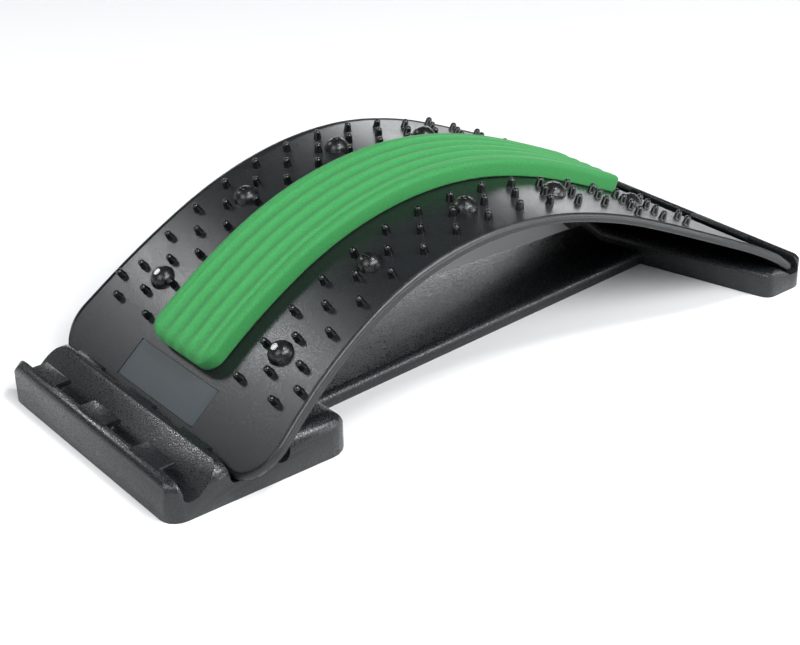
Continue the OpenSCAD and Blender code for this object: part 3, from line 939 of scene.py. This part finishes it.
@dataclass
class PinField(RowField):
    """The pins of the plate."""

    inner: float = 40.7
    middle: float = 54.7
    outer: float = 69.2
    front_extra: float = 78.3
    rear_extra: float = 83.5
    front_extra_rows: tuple[float, ...] = (0.5,)
    rear_extra_rows: tuple[float, ...] = (11.5, 12.5, 13.5)
    foot_r: float = 2.1
    tip_r: float = 1.75
    height: float = 5.1
    tip_turns: tuple[float, ...] = (0.0, 0.35, 0.7, 1.05, 1.35)
    around: int = 14

    def places(self) -> list[Point2]:
        """Set the pins out in rows, with the middle line between them.

        Returns:
            The row and the distance from the middle of each pin on one side.
        """
        out = [(float(row), y) for row in range(self.rows) for y in (self.inner, self.outer)]
        out += [(row + 0.5, self.middle) for row in range(self.rows - 1)]
        out += [(row, self.front_extra) for row in self.front_extra_rows]
        return out + [(row, self.rear_extra) for row in self.rear_extra_rows]

    def pattern(self) -> Object:
        """Make one pin: a flared foot, a tapered shank and a ball tip.

        Returns:
            The new object, at the origin.
        """
        foot_r, tip_r, face = self.foot_r, self.tip_r, self.sink
        neck = face + self.height - tip_r
        foot = [(foot_r + 0.2, 0.0), (foot_r + 0.05, face + 0.15), (foot_r - 0.05, face + 0.6)]
        ball = [(tip_r * math.cos(a), neck + tip_r * math.sin(a)) for a in self.tip_turns]
        return lathe(foot + ball, self.around)


@dataclass
class DomeField(RowField):
    """The magnet domes."""

    line_y: float = 51.7
    dome_rows: tuple[int, ...] = (1, 4, 7, 10, 13)
    foot_r: float = 6.6
    top_r: float = 2.2
    height: float = 5.6
    skirt: float = 0.2
    shoulder: float = 0.3
    bulge: float = 0.95
    steps: int = 8
    around: int = 28
    cap_around: int = 24

    def places(self) -> list[Point2]:
        """Return the row and the line of each dome on one side."""
        return [(float(row), self.line_y) for row in self.dome_rows]

    def pattern(self) -> Object:
        """Make the sides of one dome: a cone that bulges a little.

        Returns:
            The new object, at the origin.
        """
        low, high = self.sink + self.skirt, self.sink + self.height - self.shoulder
        run, rise = self.foot_r - self.top_r, high - low
        size = math.hypot(run, rise)
        side = []
        for k in range(self.steps + 1):
            t = k / self.steps
            out = 4 * self.bulge * t * (1 - t)
            side.append((self.foot_r - run * t + out * rise / size, low + rise * t + out * run / size))
        foot = [(self.foot_r + 0.1, 0.0), (self.foot_r + 0.08, low - 0.15)]
        return lathe(foot + side + [(self.top_r - 0.15, high - 0.02)], self.around)

    def cap(self) -> Object:
        """Make the polished top of one dome, with a ring and a dimple sunk in.

        Returns:
            The new object, at the height of the dome's top.
        """
        top, r = self.sink + self.height, self.top_r
        # Radius, and depth below the top
        rim = [(r - 0.02, 0.5), (r - 0.02, 0.14), (r - 0.12, 0.03), (r - 0.3, 0.0)]
        ring = [(1.5, 0.0), (1.38, 0.2), (1.12, 0.2), (1.0, 0.0)]
        dimple = [(0.42, 0.0), (0.3, 0.15)]
        return lathe([(x, top - deep) for x, deep in rim + ring + dimple], self.cap_around)


def grown(seats: Object, tree: NodeTree, sizes: dict[str, Any]) -> Object:
    """Run a node tree on an object and keep the result as its plain mesh.

    Args:
        seats: The object that carries the points.
        tree: The node tree.
        sizes: Values for the tree's named inputs.

    Returns:
        The same object with the grown mesh and no modifier.
    """
    modifier = seats.modifiers.new("grow", "NODES")
    modifier.node_group = tree
    for item in tree.interface.items_tree:
        if item.item_type == "SOCKET" and item.in_out == "INPUT" and item.name in sizes:
            modifier[item.identifier] = sizes[item.name]
    seats.update_tag()
    graph = bpy.context.evaluated_depsgraph_get()
    mesh = bpy.data.meshes.new_from_object(seats.evaluated_get(graph))
    seats.modifiers.remove(modifier)
    seats.data = mesh
    return seats


@dataclass
class BaseFrame:
    """The one-piece base: a copy of its solid, shaded by a bevel's hardened normals.

    The round edges are the solid's own. The bevel asks for edge_mm, but the clamp on overlaps
    holds it under 0.001 mm on this mesh, so it leaves slivers and only its normals show.
    """

    weld_mm: float = 0.002
    flat_deg: float = 0.5
    edge_mm: float = 0.5
    edge_steps: int = 2
    crease_deg: float = 32.0
    rack_len: float = 100.5
    slot_floor: float = 9.2
    hook_zone: float = 65.0
    side_lean: float = 0.3

    def build(self) -> Object:
        """Make the copy and its shading.

        Returns:
            The new object, with the ends of its hooks numbered 1 for their painted shade.
        """
        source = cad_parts["base_frame"]
        mesh = source.data.copy()
        bm = bmesh.new()
        bm.from_mesh(mesh)
        bmesh.ops.remove_doubles(bm, verts=bm.verts, dist=self.weld_mm * MM)
        flat = math.radians(self.flat_deg)
        bmesh.ops.dissolve_limit(bm, angle_limit=flat, verts=bm.verts, edges=bm.edges)
        for face in bm.faces:
            face.smooth = True
        bm.to_mesh(mesh)
        bm.free()
        made = bpy.data.objects.new("base_shell", mesh)
        bpy.context.scene.collection.objects.link(made)
        made.matrix_world = Matrix.Identity(4)
        bevel = made.modifiers.new("broken_edges", "BEVEL")
        bevel.width = self.edge_mm * MM
        bevel.segments = self.edge_steps
        bevel.limit_method = "ANGLE"
        bevel.angle_limit = math.radians(self.crease_deg)
        bevel.use_clamp_overlap = True
        bevel.harden_normals = True
        graph = bpy.context.evaluated_depsgraph_get()
        made.data = bpy.data.meshes.new_from_object(made.evaluated_get(graph))
        made.modifiers.clear()
        self.mark_shaded_shut_offs(made.data)
        return made

    def mark_shaded_shut_offs(self, mesh: Mesh) -> None:
        """Number the ends of the rack's hooks as 1, for their darker finish of painted shade.

        Args:
            mesh: The base's mesh.
        """
        low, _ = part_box("base_frame")
        back, floor = low.x + self.rack_len * MM, low.z + self.slot_floor * MM
        for face in mesh.polygons:
            x, y, z = face.center
            inside = x < back and z > floor and abs(y) < self.hook_zone * MM
            # Hook ends in the rack's pockets take the darker finish: painted shade for the pockets
            face.material_index = 1 if inside and abs(face.normal.y) > self.side_lean else 0


# The studio


@dataclass(frozen=True)
class Softbox:
    """A soft light: where it hangs, its width and height, all in metres, and its watts."""

    name: str
    place: Point3
    size: Point2
    watts: float


@dataclass(frozen=True)
class Studio:
    """The camera, the floor and the lights, in metres."""

    eye: Point3 = (-0.4788, -0.6075, 0.4142)
    aim: Point3 = (-0.0073, 0.0, 0.0060)
    roll_deg: float = -1.55
    lens_mm: float = 74.11
    lamp_aim: Point3 = (0.0, 0.0, 0.04)
    boxes: tuple[Softbox, ...] = (
        Softbox("key_softbox", (0.20, -0.62, 1.42), (0.22, 0.22), 10.5),
        Softbox("front_softbox", (-1.20, -0.30, 0.95), (0.8, 0.8), 9.8),
        Softbox("right_softbox", (0.08, -1.05, 0.90), (1.3, 0.40), 23.0),
        Softbox("low_right_softbox", (0.95, -1.15, 0.24), (0.9, 0.30), 6.5),
        Softbox("back_softbox", (1.10, 1.35, 0.31), (1.4, 0.38), 7.4),
        Softbox("cap_softbox", (-0.47, 0.99, 0.82), (0.24, 0.24), 4.0),
    )
    lamp_colour: str = "fbfdff"
    room_colour: str = "f4f6f8"
    floor_colour: str = "efefef"
    floor_half: float = 30.0
    floor_drop: float = 0.0002
    floor_reach: Point2 = (0.7, 2.4)
    floor_glow: float = 0.80
    wall_top: float = 0.16
    wall_light: float = 0.88
    ceiling_light: float = 0.16

    def camera(self) -> None:
        """Place the camera as the photograph's was."""
        data = bpy.data.cameras.new("photo_camera")
        data.lens, data.sensor_width = self.lens_mm, 36.0
        data.clip_start, data.clip_end = 0.01, 50.0
        made = bpy.data.objects.new("photo_camera", data)
        bpy.context.scene.collection.objects.link(made)
        forward = (Vector(self.aim) - Vector(self.eye)).normalized()
        roll = Matrix.Rotation(math.radians(self.roll_deg), 3, "Z")
        turn = forward.to_track_quat("-Z", "Y").to_matrix() @ roll
        made.matrix_world = Matrix.Translation(self.eye) @ turn.to_4x4()
        bpy.context.scene.camera = made

    def floor(self) -> None:
        """Lay a plain pale floor that stays pale far from the lamps."""
        half, down = self.floor_half / MM, -self.floor_drop / MM
        corners = [(-half, -half, down), (half, -half, down), (half, half, down), (-half, half, down)]
        made = mesh_object("studio_floor", corners, [(0, 1, 2, 3)])
        paint = bpy.data.materials.new("pale_studio_floor")
        paint.use_nodes = True
        tree = paint.node_tree
        shader = tree.nodes["Principled BSDF"]
        where = add_node(tree, "ShaderNodeTexCoord").outputs["Object"]
        away = add_node(tree, "ShaderNodeVectorMath", {0: where}, operation="LENGTH").outputs["Value"]
        # The lamps reach about a metre, and the studio's own light takes over from there
        glow = add_node(tree, "ShaderNodeMapRange", {
            "Value": away, "From Min": self.floor_reach[0], "From Max": self.floor_reach[1],
            "To Min": 0.0, "To Max": self.floor_glow}, interpolation_type="SMOOTHSTEP")
        tree.links.new(glow.outputs["Result"], shader.inputs["Emission Strength"])
        shader.inputs["Emission Color"].default_value = linear(self.room_colour)
        shader.inputs["Base Color"].default_value = linear(self.floor_colour)
        shader.inputs["Roughness"].default_value = 0.9
        shader.inputs["Specular IOR Level"].default_value = 0.1
        made.data.materials.append(paint)
        made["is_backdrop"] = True

    def lamp(self, box: Softbox) -> None:
        """Hang a soft light that faces the object.

        Args:
            box: The light.
        """
        data = bpy.data.lights.new(box.name, "AREA")
        data.shape, data.energy = "RECTANGLE", box.watts
        data.size, data.size_y = box.size
        data.color = linear(self.lamp_colour)[:3]
        made = bpy.data.objects.new(box.name, data)
        bpy.context.scene.collection.objects.link(made)
        turn = (Vector(self.lamp_aim) - Vector(box.place)).to_track_quat("-Z", "Y").to_matrix()
        made.matrix_world = Matrix.Translation(box.place) @ turn.to_4x4()

    def room(self) -> None:
        """Light the room round the floor: pale far walls, and dim overhead."""
        world = bpy.data.worlds.new("studio_room")
        world.use_nodes = True
        tree = world.node_tree
        shell = tree.nodes["Background"]
        shell.inputs["Color"].default_value = linear(self.room_colour)
        way = add_node(tree, "ShaderNodeTexCoord").outputs["Generated"]
        height = add_node(tree, "ShaderNodeSeparateXYZ", {0: way}).outputs["Z"]
        walls = add_node(tree, "ShaderNodeMapRange", {
            "Value": height, "From Min": 0.0, "From Max": self.wall_top,
            "To Min": self.wall_light, "To Max": self.ceiling_light}, interpolation_type="SMOOTHSTEP")
        tree.links.new(walls.outputs["Result"], shell.inputs["Strength"])
        bpy.context.scene.world = world

    def build(self) -> None:
        """Set up the whole studio."""
        self.camera()
        self.floor()
        for box in self.boxes:
            self.lamp(box)
        self.room()
        bpy.context.scene.view_settings.view_transform = "Standard"


# Putting it together


def dress(piece: Object, *materials: Material) -> None:
    """Give a piece its finishes.

    Args:
        piece: The piece.
        *materials: The finishes, in the order of its faces' numbers.
    """
    kept = [face.material_index for face in piece.data.polygons]
    piece.data.materials.clear()
    for material in materials:
        piece.data.materials.append(material)
    piece.data.polygons.foreach_set("material_index", kept if len(materials) > 1 else [0] * len(kept))


def settle(piece: Object, body: Body, nodes: Sequence[str] = ()) -> None:
    """Tie a piece to its body and the solids that it stands for.

    Args:
        piece: The piece.
        body: The body that it rides on.
        nodes: The solids that it replaces.
    """
    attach(piece, body.value)
    if nodes:
        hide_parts(*nodes)
    LOG.info("%s: %d faces on %s", piece.name, len(piece.data.polygons), body.value)


def main() -> None:
    """Build every sub-assembly in order and set up the studio."""
    logging.basicConfig(level=logging.INFO, format="%(name)s %(message)s")
    low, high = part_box("arch_plate")
    line = ArchLine(low.x / MM, high.x / MM)
    base = BaseFrame().build()
    dress(base, BASE_ABS.material(), SHUT_OFF_SHADE_ABS.material())
    settle(base, Body.BASE, ["base_frame"])

    plate = ArchPlate(line).build()
    dress(plate, PLATE_ABS.material(), UNDERSIDE_SHADE_ABS.material())
    settle(plate, Body.ARCH, ["arch_plate"])
    pin_field = PinField(line)
    pins = pin_field.build("pins", pin_field.places(), pin_field.pattern(), PIN_ABS.material())
    settle(pins, Body.ARCH, ["arch_plate"])
    dome_field = DomeField(line)
    domes = dome_field.build("domes", dome_field.places(), dome_field.pattern(), DOME_ABS.material())
    caps = dome_field.build("dome_caps", dome_field.places(), dome_field.cap(), PIN_ABS.material())
    for piece in (domes, caps):
        settle(piece, Body.ARCH, [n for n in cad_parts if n.startswith("dome_")])

    foam = FoamStrip(line).build()
    dress(foam, FOAM.material())
    settle(foam, Body.ARCH, ["foam_pad"])
    label = BlankLabel(line).build()
    dress(label, LABEL_FILM.material())
    settle(label, Body.ARCH, ["blank_label"])

    finishes = {"magnet": NICKEL.material(), "pad_tape": TAPE_FILM.material()}
    for name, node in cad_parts.items():
        for start, material in finishes.items():
            if name.startswith(start):
                dress(node, material)
                LOG.info("%s keeps its solid", name)

    Studio().build()
    low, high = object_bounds()


if __name__ == "__main__":
    main()
